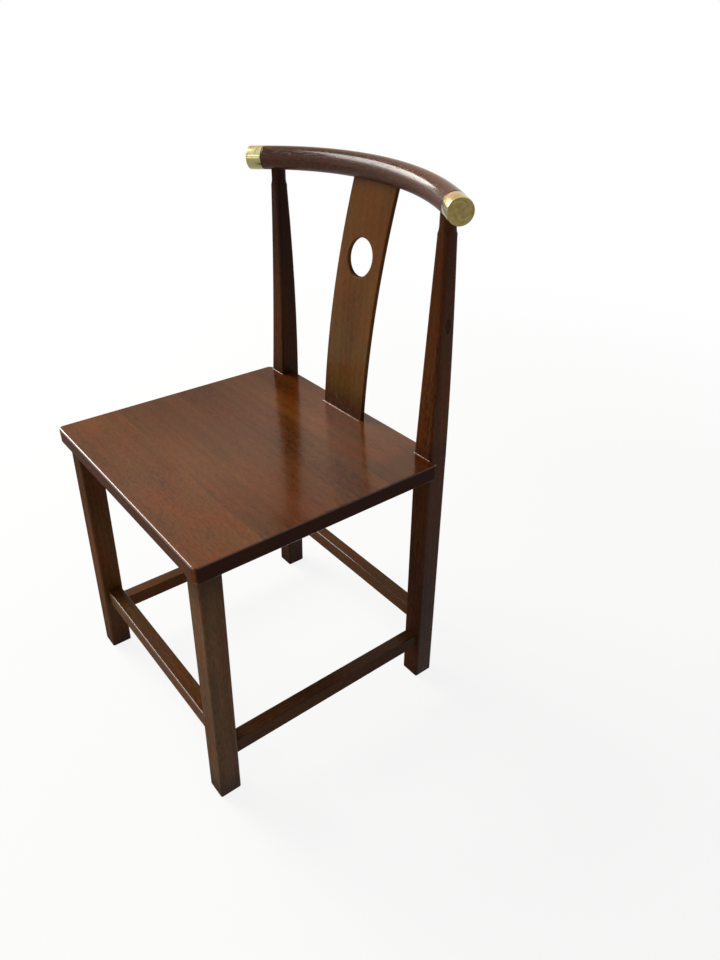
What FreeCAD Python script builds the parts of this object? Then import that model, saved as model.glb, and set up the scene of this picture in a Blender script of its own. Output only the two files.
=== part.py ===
import FreeCAD, Part
import math
import os
from types import SimpleNamespace
import Sketcher

# A bow-back side chair: a plank seat on two front legs and two rear posts, four stretchers,
# a bent splat with a round hole, and a bowed round crest rail with brass end caps.
# +Z is up and the chair faces -Y. The origin is on the floor under the middle of the whole
# chair. The outlines are drawn about the middle of the seat, and each body is placed from there.
# Lengths are in millimetres and angles in degrees.

doc = FreeCAD.newDocument("chair")

SIZES = [
    # Seat
    ("seat_width", 450),
    ("seat_depth", 417),
    ("seat_height", 442),
    ("seat_thickness", 24.3),
    ("seat_corner_radius", 9),
    ("ear_corner_radius", 9),
    ("seat_top_arris", 2.5),
    ("seat_bottom_arris", 2),
    ("front_board_width", 98),
    ("middle_board_width", 104),
    ("tongue_thickness", 6),
    ("tongue_reach", 8),
    ("tongue_stop", 26),
    ("post_notch_depth", 25),
    ("ear_wrap", 5),
    ("ear_undercut", 9),
    ("ear_tenon_length", 12),
    ("ear_tenon_width", 14),
    ("ear_tenon_height", 9),
    # Battens under the seat
    ("batten_spacing", 210),
    ("batten_width", 36),
    ("batten_drop", 12),
    ("batten_front_inset", 42),
    ("batten_rear_inset", 3),
    ("batten_arris", 2),
    ("dovetail_height", 7),
    ("dovetail_neck", 24),
    ("dovetail_flare", 1.6),
    # Front legs
    ("leg_size", 34),
    ("leg_arris", 3),
    ("leg_side_inset", 14),
    ("leg_front_inset", 9.5),
    ("side_splay", 5.2),
    ("front_splay", 10.7),
    ("foot_chamfer", 2),
    ("leg_tenon_size", 18),
    ("leg_mortise_depth", 14),
    # Rear posts
    ("post_size", 34.5),
    ("post_foot_lead", 2),
    ("post_top_size", 21.8),
    ("post_top_arris", 6),
    ("post_middle_size", 29),
    ("post_middle_arris", 4),
    ("post_inward_lean", 0.6),
    ("post_backward_lean", 3.3),
    ("post_inward_bow", 1.1),
    ("post_backward_bow", 1.9),
    ("neck_radius", 11.3),
    ("neck_drop", 50),
    ("neck_turn_in", 14),
    ("neck_rise", 5),
    # Stretchers
    ("stretcher_width", 23.5),
    ("stretcher_arris", 2.2),
    ("front_stretcher_top", 128),
    ("front_stretcher_height", 28),
    ("front_stretcher_setback", 3.2),
    ("side_stretcher_top", 93.2),
    ("side_stretcher_height", 24),
    ("rear_stretcher_top", 139),
    ("rear_stretcher_height", 26),
    ("rear_stretcher_width", 22),
    ("tenon_thickness", 9),
    ("tenon_length", 24),
    ("tenon_shoulder", 3.5),
    # Crest rail and its caps
    ("rail_height", 809),
    ("rail_bow_radius", 432.5),
    ("rail_tilt", 7.6),
    ("rail_radius", 17.4),
    ("rail_overhang", 23),
    ("cap_length", 26),
    ("cap_radius", 17.5),
    ("cap_wall", 1.6),
    ("cap_end_thickness", 2.4),
    ("cap_end_arris", 1.2),
    ("cap_mouth_arris", 0.4),
    # Splat
    ("splat_width", 99),
    ("splat_thickness", 7.2),
    ("splat_inset", 25.3),
    ("splat_end_drop", 6),
    ("splat_end_lead", 2.4),
    ("splat_bow", 10.8),
    ("splat_arris", 1),
    ("splat_tenon_shoulder", 6),
    ("splat_tenon_cheek", 1.1),
    ("splat_mortise_depth", 12),
    ("hole_radius", 28),
    ("hole_drop", 122),
    # Shared allowances
    ("joint_clearance", 0.1),
    ("tenon_end_gap", 1),
    ("cut_overrun", 5),
]

sheet = doc.addObject("Spreadsheet::Sheet", "Sizes")
for row, (alias, number) in enumerate(SIZES, start=1):
    sheet.set("A%d" % row, alias)
    sheet.set("B%d" % row, str(number))
    sheet.setAlias("B%d" % row, alias)
doc.recompute()


class Size:
    """A length, angle or share that knows its value and the expression it comes from."""

    def __init__(self, value, text):
        self.value = value
        self.text = text

    def combine(self, sign, other, value):
        return Size(value, "(%s %s %s)" % (self.text, sign, other.text))

    def __add__(self, other):
        other = as_size(other)
        return self.combine("+", other, self.value + other.value)

    def __sub__(self, other):
        other = as_size(other)
        return self.combine("-", other, self.value - other.value)

    def __mul__(self, other):
        other = as_size(other)
        return self.combine("*", other, self.value * other.value)

    def __truediv__(self, other):
        other = as_size(other)
        return self.combine("/", other, self.value / other.value)

    def __rmul__(self, other):
        return as_size(other) * self

    def __neg__(self):
        return as_size(-1) * self


def as_size(number):
    """Counts, signs and halves join a sum as plain numbers."""
    if isinstance(number, Size):
        return number
    return Size(float(number), repr(number))


def square_root(area):
    return Size(math.sqrt(area.value), "sqrt(%s)" % area.text)


def sine(angle):
    return Size(math.sin(math.radians(angle.value)), "sin(%s)" % angle.text)


def cosine(angle):
    return Size(math.cos(math.radians(angle.value)), "cos(%s)" % angle.text)


def arc_sine(share):
    return Size(math.degrees(math.asin(share.value)), "(asin(%s) / 1 deg)" % share.text)


def angle_of_arc(length, radius):
    """The angle that an arc of a given length turns through."""
    return length / radius * Size(math.degrees(1), "(180 / pi)")


def smaller(first, second):
    return Size(min(first.value, second.value), "min(%s; %s)" % (first.text, second.text))


size = SimpleNamespace(**{alias: Size(float(number), "Sizes." + alias) for alias, number in SIZES})
ZERO = as_size(0)
SIDES = {"left": -1, "right": 1}


# Places worked out from the sizes, about the middle of the seat

front_edge = -size.seat_depth / 2
rear_edge = size.seat_depth / 2
underside = size.seat_height - size.seat_thickness
joints = {
    "front": front_edge + size.front_board_width,
    "middle": front_edge + size.front_board_width + size.middle_board_width,
    "rear": front_edge + size.front_board_width + size.middle_board_width * 2,
}
joint_height = size.seat_height - size.seat_thickness / 2

leg_x = size.seat_width / 2 - size.leg_side_inset - size.leg_size / 2
leg_y = front_edge + size.leg_front_inset + size.leg_size / 2
post_face_y = rear_edge - size.post_notch_depth
post_y = post_face_y + size.post_size / 2
post_inner_x = leg_x - size.post_size / 2
post_outer_x = leg_x + size.post_size / 2

neck_x = leg_x - size.post_inward_lean
neck_y = post_y + size.post_backward_lean
rail_sagitta = size.rail_bow_radius - square_root(
    size.rail_bow_radius * size.rail_bow_radius - neck_x * neck_x
)
rail_y = neck_y + rail_sagitta * cosine(size.rail_tilt)
rail_wood_angle = arc_sine(neck_x / size.rail_bow_radius) + angle_of_arc(
    size.rail_overhang, size.rail_bow_radius
)
neck_top = size.rail_height - rail_sagitta * sine(size.rail_tilt) + size.neck_rise
neck_foot = neck_top - size.neck_drop
bow_centre_y = rail_y - size.rail_bow_radius * cosine(size.rail_tilt)
bow_centre_z = size.rail_height - size.rail_bow_radius * sine(size.rail_tilt)

splat_foot_y = rear_edge - size.splat_inset
splat_end_y = rail_y - size.splat_end_lead
splat_end_z = size.rail_height - size.splat_end_drop
hole_height = size.rail_height - size.hole_drop


def along_leg(seat_place, foot_shift, height):
    """Where a splayed leg's line, at seat_place under the seat, passes at a height."""
    return seat_place + foot_shift * (underside - height) / underside


def leg_line_x(height):
    return along_leg(leg_x, size.side_splay, height)


def leg_line_y(height):
    return along_leg(leg_y, -size.front_splay, height)


def post_line_y(height):
    return along_leg(post_y, -size.post_foot_lead, height)


# The splayed front feet or the seat's front edge come furthest forward, the rail's back furthest back.
foot_front = leg_line_y(size.foot_chamfer) - size.leg_size / 2
middle_shift = -(rail_y + size.rail_radius + smaller(foot_front, front_edge)) / 2


# Helpers for bodies, sketches and features

def new_body(name):
    body = doc.addObject("PartDesign::Body", name)
    body.Label = name
    body.setExpression("Placement.Base.y", middle_shift.text)
    return body


def new_sketch(body, name, role, offset=ZERO):
    """A sketch on one of the body's own origin planes, moved along the plane's normal."""
    sketch = body.newObject("Sketcher::SketchObject", body.Name + "_" + name)
    plane = [feature for feature in body.Origin.OriginFeatures if feature.Role == role][0]
    sketch.AttachmentSupport = [(plane, "")]
    sketch.MapMode = "FlatFace"
    sketch.setExpression("AttachmentOffset.Base.z", offset.text)
    return sketch


def facing_front(body, name, place):
    """A sketch in the XZ plane at a given y. The plane's normal is -Y."""
    return new_sketch(body, name, "XZ_Plane", -place)


def constrain(sketch, kind, number, *where):
    index = sketch.addConstraint(Sketcher.Constraint(kind, *where, number.value))
    sketch.setExpression("Constraints[%d]" % index, number.text)


def fix_point(sketch, geometry, end, point):
    constrain(sketch, "DistanceX", point[0], -1, 1, geometry, end)
    constrain(sketch, "DistanceY", point[1], -1, 1, geometry, end)


def vector(point):
    return FreeCAD.Vector(point[0].value, point[1].value, 0)


def arc_middle(start, finish, radius, turn):
    """The middle of an arc shorter than half a turn, which bends left (1) or right (-1)."""
    chord = finish - start
    rise = radius.value - math.sqrt(radius.value ** 2 - chord.Length ** 2 / 4)
    left = FreeCAD.Vector(-chord.y, chord.x, 0).normalize()
    return (start + finish) / 2 - left * rise * turn


def draw_outline(sketch, start, runs):
    """A closed outline. Each run is (point,), or (point, radius, turn) for an arc, and the last
    one comes back to the start."""
    point = start
    first = None
    before = None
    for run in runs:
        finish, radius, turn = run if len(run) == 3 else (run[0], None, 1)
        ends = (1, 2) if turn > 0 else (2, 1)
        if radius is None:
            curve = Part.LineSegment(vector(point), vector(finish))
        else:
            middle = arc_middle(vector(point), vector(finish), radius, turn)
            corners = [vector(point), vector(finish)]
            curve = Part.Arc(corners[ends[0] - 1], middle, corners[ends[1] - 1])
        geometry = sketch.addGeometry(curve, False)
        if before:
            sketch.addConstraint(Sketcher.Constraint("Coincident", *before, geometry, ends[0]))
        fix_point(sketch, geometry, ends[0], point)
        if radius is not None:
            constrain(sketch, "Radius", radius, geometry)
        first = first or (geometry, ends[0])
        before = (geometry, ends[1])
        point = finish
    sketch.addConstraint(Sketcher.Constraint("Coincident", *before, *first))


def draw_polygon(sketch, points):
    draw_outline(sketch, points[0], [(point,) for point in points[1:] + points[:1]])


def draw_rectangle(sketch, centre, width, height):
    left = centre[0] - width / 2
    right = centre[0] + width / 2
    bottom = centre[1] - height / 2
    top = centre[1] + height / 2
    draw_polygon(sketch, [(left, bottom), (right, bottom), (right, top), (left, top)])


def draw_rounded_square(sketch, centre, width, radius):
    """A square section with its four arrises rounded."""
    near = width / 2 - radius
    far = width / 2
    corners = [
        ((near, -far), (far, -near)),
        ((far, near), (near, far)),
        ((-near, far), (-far, near)),
        ((-far, -near), (-near, -far)),
    ]
    places = [[(centre[0] + u, centre[1] + v) for u, v in corner] for corner in corners]
    runs = []
    for arrive, leave in places:
        runs.append((arrive,))
        runs.append((leave, radius, 1))
    draw_outline(sketch, places[-1][1], runs)


def draw_circle(sketch, centre, radius):
    circle = Part.Circle(vector(centre), FreeCAD.Vector(0, 0, 1), radius.value)
    geometry = sketch.addGeometry(circle, False)
    fix_point(sketch, geometry, 3, centre)
    constrain(sketch, "Radius", radius, geometry)


def draw_quartered_circle(sketch, centre, radius):
    """A circle of four arcs, so that a rim cut in a curved face can be eased all round."""
    quarters = [(radius, ZERO), (ZERO, radius), (-radius, ZERO), (ZERO, -radius)]
    points = [(centre[0] + u, centre[1] + v) for u, v in quarters]
    draw_outline(sketch, points[0], [(point, radius, 1) for point in points[1:] + points[:1]])


def draw_axis(sketch, start, finish):
    """A construction line that a profile in the same sketch turns about."""
    geometry = sketch.addGeometry(Part.LineSegment(vector(start), vector(finish)), True)
    fix_point(sketch, geometry, 1, start)
    fix_point(sketch, geometry, 2, finish)


def add_feature(kind, sketch):
    body = sketch.getParentGeoFeatureGroup()
    feature = body.newObject("PartDesign::" + kind, sketch.Name + "_" + kind.lower())
    feature.Profile = sketch
    return feature


def extrude(kind, sketch, length, toward=1):
    """A Pad or Pocket along the sketch's normal (1), against it (-1) or to both sides (0)."""
    feature = add_feature(kind, sketch)
    feature.setExpression("Length", length.text)
    if toward == 0:
        feature.SideType = "Symmetric"
    else:
        feature.Reversed = (toward > 0) == (kind == "Pocket")
    return feature


def turn(kind, sketch, axis, angle=None):
    """A Revolution or Groove, full round or through an angle shared by both sides."""
    feature = add_feature(kind, sketch)
    feature.ReferenceAxis = (sketch, [axis])
    if angle:
        feature.Midplane = True
        feature.setExpression("Angle", angle.text)
    return feature


def edges_where(feature, test):
    doc.recompute()
    edges = enumerate(feature.Shape.Edges, start=1)
    return ["Edge%d" % number for number, edge in edges if test(edge)]


def dress(kind, feature, amount, test):
    """A Fillet (by radius) or Chamfer (by size) on the edges that pass a test."""
    names = edges_where(feature, test)
    body = feature.getParentGeoFeatureGroup()
    dressed = body.newObject("PartDesign::" + kind, feature.Name + "_" + kind.lower())
    dressed.Base = (feature, names)
    dressed.setExpression("Radius" if kind == "Fillet" else "Size", amount.text)
    return dressed


def middle_of(edge):
    return edge.valueAt((edge.FirstParameter + edge.LastParameter) / 2)


def level_with(place, wanted):
    """Whether a place read from the solid is at a wanted place, give or take rounding."""
    return math.isclose(place, wanted.value, abs_tol=1e-4)


# Sketches in the XZ plane face the front, so their normal is -Y.
FRONTWARD = 1
REARWARD = -1
UP = 1
DOWN = -1
BOTH_WAYS = 0


# The seat: four boards on loose tongues, held flat by two dovetailed battens

def batten_section(sketch, slack, whole):
    """The dovetail of both battens, or one side's whole section with its bar below the seat."""
    neck = size.dovetail_neck / 2 - slack
    crown = neck + size.dovetail_flare
    top = underside + size.dovetail_height - slack
    bar = size.batten_width / 2
    foot = underside - size.batten_drop
    below = [(-neck, underside), (-bar, underside), (-bar, foot)]
    below += [(bar, foot), (bar, underside), (neck, underside)]
    for side in whole or SIDES.values():
        centre = side * size.batten_spacing / 2
        edge = below if whole else [(-neck, underside), (neck, underside)]
        points = edge + [(crown, top), (-crown, top)]
        draw_polygon(sketch, [(centre + across, height) for across, height in points])


batten_front = front_edge + size.batten_front_inset


def meets_post(place):
    """Whether a place on the seat lies against one of the rear posts."""
    across = abs(place.x)
    inside = across > post_inner_x.value or level_with(across, post_inner_x)
    outside = across < post_outer_x.value or level_with(across, post_outer_x)
    behind = place.y > post_face_y.value or level_with(place.y, post_face_y)
    return inside and outside and behind


def finish_board(body, blank, cuts_behind, cuts_before):
    """Arrises on the open edges, tongue grooves in the joint faces and the batten housings."""
    joint_places = cuts_behind + cuts_before

    def is_open(edge, height):
        place = middle_of(edge)
        in_joint = any(level_with(place.y, joint) for joint in joint_places)
        return level_with(place.z, height) and not in_joint and not meets_post(place)

    top = dress("Fillet", blank, size.seat_top_arris, lambda edge: is_open(edge, size.seat_height))
    dress("Fillet", top, size.seat_bottom_arris, lambda edge: is_open(edge, underside))
    for places, toward in ((cuts_behind, REARWARD), (cuts_before, FRONTWARD)):
        for place in places:
            groove = facing_front(body, "groove", place)
            width = size.seat_width - size.tongue_stop * 2
            height = size.tongue_thickness + size.joint_clearance
            draw_rectangle(groove, (ZERO, joint_height), width, height)
            extrude("Pocket", groove, size.tongue_reach + size.tenon_end_gap / 2, toward)
    housing = facing_front(body, "batten_housing", batten_front)
    batten_section(housing, ZERO, None)
    extrude("Pocket", housing, rear_edge - batten_front + size.cut_overrun, REARWARD)


def seat_board_front():
    body = new_body("seat_board_front")
    plan = new_sketch(body, "plan", "XY_Plane", underside)
    right = size.seat_width / 2
    radius = size.seat_corner_radius
    start = (radius - right, front_edge)
    runs = [
        ((right - radius, front_edge),),
        ((right, front_edge + radius), radius, 1),
        ((right, joints["front"]),),
        ((-right, joints["front"]),),
        ((-right, front_edge + radius),),
        (start, radius, 1),
    ]
    draw_outline(plan, start, runs)
    blank = extrude("Pad", plan, size.seat_thickness)
    finish_board(body, blank, [], [joints["front"]])
    for side in SIDES.values():
        mortise = new_sketch(body, "leg_mortise", "XY_Plane", underside)
        width = size.leg_tenon_size + size.joint_clearance
        draw_rectangle(mortise, (side * leg_x, leg_y), width, width)
        extrude("Pocket", mortise, size.leg_mortise_depth, UP)
    return body


def straight_board(body, front, rear):
    plan = new_sketch(body, "plan", "XY_Plane", underside)
    draw_rectangle(plan, (ZERO, (front + rear) / 2), size.seat_width, rear - front)
    return extrude("Pad", plan, size.seat_thickness)


def seat_board_middle(name, front, rear):
    body = new_body(name)
    blank = straight_board(body, front, rear)
    finish_board(body, blank, [front], [rear])
    return body


EAR_LIP_SHARE = 1 / 4


def seat_board_rear():
    """The board is notched for the posts, and an ear at each end wraps the post's outer face."""
    body = new_body("seat_board_rear")
    cut = straight_board(body, joints["rear"], rear_edge)
    outside = size.seat_width / 2
    beyond = outside + size.cut_overrun
    behind = rear_edge + size.cut_overrun
    ear_end = post_face_y + size.ear_wrap
    inner = size.leg_arris
    ear = size.ear_corner_radius
    for side in SIDES.values():
        notch = new_sketch(body, "post_notch", "XY_Plane", underside)
        start = (side * post_inner_x, behind)
        runs = [
            ((side * post_inner_x, post_face_y + inner),),
            ((side * (post_inner_x + inner), post_face_y), inner, side),
            ((side * (post_outer_x - inner), post_face_y),),
            ((side * post_outer_x, post_face_y + inner), inner, side),
            ((side * post_outer_x, ear_end),),
            ((side * (outside - ear), ear_end),),
            ((side * outside, ear_end - ear), ear, -side),
            ((side * beyond, ear_end - ear),),
            ((side * beyond, behind),),
            (start,),
        ]
        draw_outline(notch, start, runs)
        cut = extrude("Pocket", notch, size.seat_thickness, UP)
    finish_board(body, cut, [joints["rear"]], [])
    lip = size.seat_height - size.seat_thickness * EAR_LIP_SHARE
    for side in SIDES.values():
        undercut = new_sketch(body, "ear_undercut", "YZ_Plane", side * post_outer_x)
        corners = [
            (ear_end - size.ear_undercut, underside - size.cut_overrun),
            (behind, underside - size.cut_overrun),
            (behind, lip),
            (ear_end, lip),
            (ear_end - size.ear_undercut, underside),
        ]
        draw_polygon(undercut, corners)
        extrude("Pocket", undercut, beyond - post_outer_x, side)
    tenons = new_sketch(body, "ear_tenons", "YZ_Plane")
    centre = ((post_face_y + rear_edge) / 2, joint_height)
    draw_rectangle(tenons, centre, size.ear_tenon_width, size.ear_tenon_height)
    reach = post_inner_x + size.ear_tenon_length - size.tenon_end_gap
    extrude("Pad", tenons, reach * 2, BOTH_WAYS)
    mortise = new_sketch(body, "splat_mortise", "XY_Plane", size.seat_height)
    draw_splat_tenon(mortise, size.joint_clearance)
    extrude("Pocket", mortise, size.splat_mortise_depth, DOWN)
    return body


def seat_tongue(name, place):
    body = new_body(name)
    section = facing_front(body, "section", place)
    width = size.seat_width - size.tongue_stop * 2 - size.joint_clearance
    draw_rectangle(section, (ZERO, joint_height), width, size.tongue_thickness)
    extrude("Pad", section, size.tongue_reach * 2, BOTH_WAYS)
    return body


def seat_batten(name, side):
    body = new_body(name)
    start = batten_front + size.tenon_end_gap
    section = facing_front(body, "section", start)
    batten_section(section, size.joint_clearance, [side])
    bar = extrude("Pad", section, rear_edge - size.batten_rear_inset - start, REARWARD)
    foot = underside - size.batten_drop
    dress("Fillet", bar, size.batten_arris, lambda edge: level_with(middle_of(edge).z, foot))
    return body


# Legs, posts and the stretchers between them

def stretcher_middle(top, height):
    return top - height / 2


side_stretcher_z = stretcher_middle(size.side_stretcher_top, size.side_stretcher_height)
front_stretcher_z = stretcher_middle(size.front_stretcher_top, size.front_stretcher_height)
rear_stretcher_z = stretcher_middle(size.rear_stretcher_top, size.rear_stretcher_height)
front_stretcher_y = leg_line_y(front_stretcher_z) + size.front_stretcher_setback
rear_stretcher_y = post_line_y(rear_stretcher_z)
side_stretcher_x = leg_line_x(side_stretcher_z)


def leg_back_y(height):
    return leg_line_y(height) + size.leg_size / 2


def post_front_y(height):
    return post_line_y(height) - size.post_size / 2


def inner_x(height, section):
    return leg_line_x(height) - section / 2


def cut_mortise(sketch, centre, height, toward):
    """A mortise cut from its bottom, where the sketch lies, out through the leg's face."""
    width = size.tenon_thickness + size.joint_clearance
    height = height - size.tenon_shoulder * 2 + size.joint_clearance
    draw_rectangle(sketch, centre, width, height)
    extrude("Pocket", sketch, size.tenon_length + size.cut_overrun, toward)


def cut_side_mortise(body, side, bottom, toward):
    sketch = facing_front(body, "side_mortise", bottom)
    centre = (side * side_stretcher_x, side_stretcher_z)
    cut_mortise(sketch, centre, size.side_stretcher_height, toward)


def splayed_shaft(body, side, foot_y, seat_y, section):
    """A square shaft from the floor to the seat's underside, with a chamfer round its foot."""
    foot_x = leg_line_x(ZERO)
    sketch = new_sketch(body, "foot", "XY_Plane")
    draw_rounded_square(sketch, (side * foot_x, foot_y), section, size.leg_arris)
    shaft = extrude("Pad", sketch, underside)
    shaft.UseCustomVector = True
    shaft.setExpression("Direction.x", (side * (leg_x - foot_x)).text)
    shaft.setExpression("Direction.y", (seat_y - foot_y).text)
    shaft.setExpression("Direction.z", underside.text)
    dress("Chamfer", shaft, size.foot_chamfer, lambda edge: level_with(middle_of(edge).z, ZERO))


def front_leg(name, side):
    body = new_body(name)
    splayed_shaft(body, side, leg_line_y(ZERO), leg_y, size.leg_size)
    tenon = new_sketch(body, "tenon", "XY_Plane", underside)
    draw_rectangle(tenon, (side * leg_x, leg_y), size.leg_tenon_size, size.leg_tenon_size)
    extrude("Pad", tenon, size.leg_mortise_depth - size.tenon_end_gap)
    bottom = side * (inner_x(front_stretcher_z, size.leg_size) + size.tenon_length)
    mortise = new_sketch(body, "front_mortise", "YZ_Plane", bottom)
    centre = (front_stretcher_y, front_stretcher_z)
    cut_mortise(mortise, centre, size.front_stretcher_height, -side)
    cut_side_mortise(body, side, leg_back_y(side_stretcher_z) - size.tenon_length, REARWARD)
    return body


def turn_neck(body, side):
    """The post's top is turned round, and a cove runs the round out into the square."""
    flare = size.post_top_size / 2 * square_root(as_size(2)) - size.neck_radius
    cove = (flare * flare + size.neck_turn_in * size.neck_turn_in) / (flare * 2)
    inside = side * size.neck_radius
    outside = side * (size.neck_radius + flare)
    top = neck_top + size.cut_overrun
    axis_x = side * neck_x
    sketch = facing_front(body, "neck", neck_y)
    start = (axis_x + inside, top)
    runs = [
        ((axis_x + inside, neck_foot + size.neck_turn_in),),
        ((axis_x + outside, neck_foot), cove, side),
        ((axis_x + outside, top),),
        (start,),
    ]
    draw_outline(sketch, start, runs)
    draw_axis(sketch, (axis_x, neck_foot), (axis_x, top))
    turn("Groove", sketch, "Axis0")


POST_SPANS = 6


def bowed(foot, middle, top, share):
    """A curve through three values that are evenly spaced, a share of the way along it."""
    bulge = middle - (foot + top) / 2
    return foot + (top - foot) * share + bulge * (4 * share * (1 - share))


def rear_post(name, side):
    """One piece from floor to rail: square to the seat, then a tapered and slightly bowed back."""
    body = new_body(name)
    splayed_shaft(body, side, post_line_y(ZERO), post_y, size.post_size)
    block = new_sketch(body, "seat_block", "XY_Plane", underside)
    draw_rounded_square(block, (side * leg_x, post_y), size.post_size, size.leg_arris)
    extrude("Pad", block, size.seat_thickness)

    middle_x = (leg_x + neck_x) / 2 - size.post_inward_bow
    middle_y = (post_y + neck_y) / 2 + size.post_backward_bow
    sections = []
    for station in range(POST_SPANS + 1):
        share = station / POST_SPANS
        height = size.seat_height + (neck_foot - size.seat_height) * share
        x = bowed(leg_x, middle_x, neck_x, share)
        y = bowed(post_y, middle_y, neck_y, share)
        width = bowed(size.post_size, size.post_middle_size, size.post_top_size, share)
        arris = bowed(size.leg_arris, size.post_middle_arris, size.post_top_arris, share)
        section = new_sketch(body, "section", "XY_Plane", height)
        draw_rounded_square(section, (side * x, y), width, arris)
        sections.append(section)
    doc.recompute()
    taper = add_feature("AdditiveLoft", sections[0])
    taper.Sections = sections[1:]
    taper.Ruled = True
    blank = new_sketch(body, "neck_blank", "XY_Plane", neck_foot)
    draw_rounded_square(blank, (side * neck_x, neck_y), size.post_top_size, size.post_top_arris)
    extrude("Pad", blank, size.neck_drop)
    turn_neck(body, side)

    ear = new_sketch(body, "ear_mortise", "YZ_Plane", side * (post_inner_x + size.ear_tenon_length))
    centre = ((post_face_y + rear_edge) / 2, joint_height)
    width = size.ear_tenon_width + size.joint_clearance
    draw_rectangle(ear, centre, width, size.ear_tenon_height + size.joint_clearance)
    extrude("Pocket", ear, size.ear_tenon_length + size.cut_overrun, -side)
    bottom = side * (inner_x(rear_stretcher_z, size.post_size) + size.tenon_length)
    mortise = new_sketch(body, "rear_mortise", "YZ_Plane", bottom)
    cut_mortise(mortise, (rear_stretcher_y, rear_stretcher_z), size.rear_stretcher_height, -side)
    cut_side_mortise(body, side, post_front_y(side_stretcher_z) + size.tenon_length, FRONTWARD)
    return body


def stretcher(name, role, offset, top, height, width, shoulders):
    """A bar whose shoulders, given as both places at a height, follow the legs' splay."""
    body = new_body(name)
    low = top - height
    bar = new_sketch(body, "bar", role, offset)
    bottom_ends = shoulders(low)
    top_ends = shoulders(top)
    corners = [(bottom_ends[0], low), (bottom_ends[1], low), (top_ends[1], top), (top_ends[0], top)]
    draw_polygon(bar, corners)
    blank = extrude("Pad", bar, width, BOTH_WAYS)
    half_length = (top_ends[1] - top_ends[0]).value / 2
    dress("Fillet", blank, size.stretcher_arris, lambda edge: edge.Length > half_length)

    start, finish = shoulders(stretcher_middle(top, height))
    reach = size.tenon_length - size.tenon_end_gap
    tenons = new_sketch(body, "tenons", role, offset)
    centre = ((start + finish) / 2, stretcher_middle(top, height))
    draw_rectangle(tenons, centre, finish - start + reach * 2, height - size.tenon_shoulder * 2)
    extrude("Pad", tenons, size.tenon_thickness, BOTH_WAYS)
    return body


def front_stretcher():
    def shoulders(height):
        inner = inner_x(height, size.leg_size)
        return -inner, inner

    return stretcher("front_stretcher", "XZ_Plane", -front_stretcher_y, size.front_stretcher_top,
                     size.front_stretcher_height, size.stretcher_width, shoulders)


def rear_stretcher():
    def shoulders(height):
        inner = inner_x(height, size.post_size)
        return -inner, inner

    return stretcher("rear_stretcher", "XZ_Plane", -rear_stretcher_y, size.rear_stretcher_top,
                     size.rear_stretcher_height, size.rear_stretcher_width, shoulders)


def side_stretcher(name, side):
    def shoulders(height):
        return leg_back_y(height), post_front_y(height)

    return stretcher(name, "YZ_Plane", side * side_stretcher_x, size.side_stretcher_top,
                     size.side_stretcher_height, size.stretcher_width, shoulders)


# The bent splat

def draw_splat_profile(sketch, slack):
    """The side view: two equal arcs a board's thickness apart, level at both ends."""
    lean = splat_end_y - splat_foot_y
    rise = splat_end_z - size.seat_height
    half_chord_squared = (lean * lean + rise * rise) / 4
    radius = (half_chord_squared + size.splat_bow * size.splat_bow) / (size.splat_bow * 2)
    foot_back = (splat_foot_y + size.splat_thickness + slack, size.seat_height)
    end_back = (splat_end_y + size.splat_thickness + slack, splat_end_z)
    end_front = (splat_end_y - slack, splat_end_z)
    foot_front = (splat_foot_y - slack, size.seat_height)
    runs = [
        (end_back, radius, -1),
        (end_front,),
        (foot_front, radius, 1),
        (foot_back,),
    ]
    draw_outline(sketch, foot_back, runs)


def draw_splat_tenon(sketch, slack):
    centre = (ZERO, splat_foot_y + size.splat_thickness / 2)
    width = size.splat_width - size.splat_tenon_shoulder * 2 + slack
    draw_rectangle(sketch, centre, width, size.splat_thickness - size.splat_tenon_cheek * 2 + slack)


def back_splat():
    body = new_body("back_splat")
    profile = new_sketch(body, "profile", "YZ_Plane")
    draw_splat_profile(profile, ZERO)
    board = extrude("Pad", profile, size.splat_width, BOTH_WAYS)
    half_height = (splat_end_z - size.seat_height).value / 2
    dress("Chamfer", board, size.splat_arris, lambda edge: edge.Length > half_height)
    hole = facing_front(body, "hole", splat_foot_y - size.cut_overrun)
    draw_quartered_circle(hole, (ZERO, hole_height), size.hole_radius)
    depth = splat_end_y - splat_foot_y + size.splat_thickness + size.cut_overrun
    pierced = extrude("Pocket", hole, depth, REARWARD)

    def rims_hole(edge):
        place = middle_of(edge)
        across = math.hypot(place.x, place.z - hole_height.value)
        is_arc = edge.Length > size.hole_radius.value
        return is_arc and across < (size.hole_radius + size.splat_arris).value

    dress("Chamfer", pierced, size.splat_arris, rims_hole)
    tenon = new_sketch(body, "tenon", "XY_Plane", size.seat_height)
    draw_splat_tenon(tenon, ZERO)
    extrude("Pad", tenon, size.splat_mortise_depth - size.tenon_end_gap, DOWN)
    return body


# The bowed crest rail and the brass cups over its ends

def rail_end_frame(side, shift):
    """The placement of a rail end: its Z axis runs out along the rail from the wood's shoulder."""
    along = size.rail_bow_radius * cosine(rail_wood_angle)
    x = side * size.rail_bow_radius * sine(rail_wood_angle)
    y = bow_centre_y + along * cosine(size.rail_tilt) + shift
    z = bow_centre_z + along * sine(size.rail_tilt)
    tilted = "rotation(vector(1; 0; 0); %s)" % size.rail_tilt.text
    swung = "rotation(vector(0; 0; 1); %s)" % (-side * rail_wood_angle).text
    outward = "rotation(vector(0; 1; 0); %s)" % (side * as_size(90)).text
    place = "vector(%s; %s; %s)" % (x.text, y.text, z.text)
    return "placement(%s; %s * %s * %s)" % (place, tilted, swung, outward)


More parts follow.
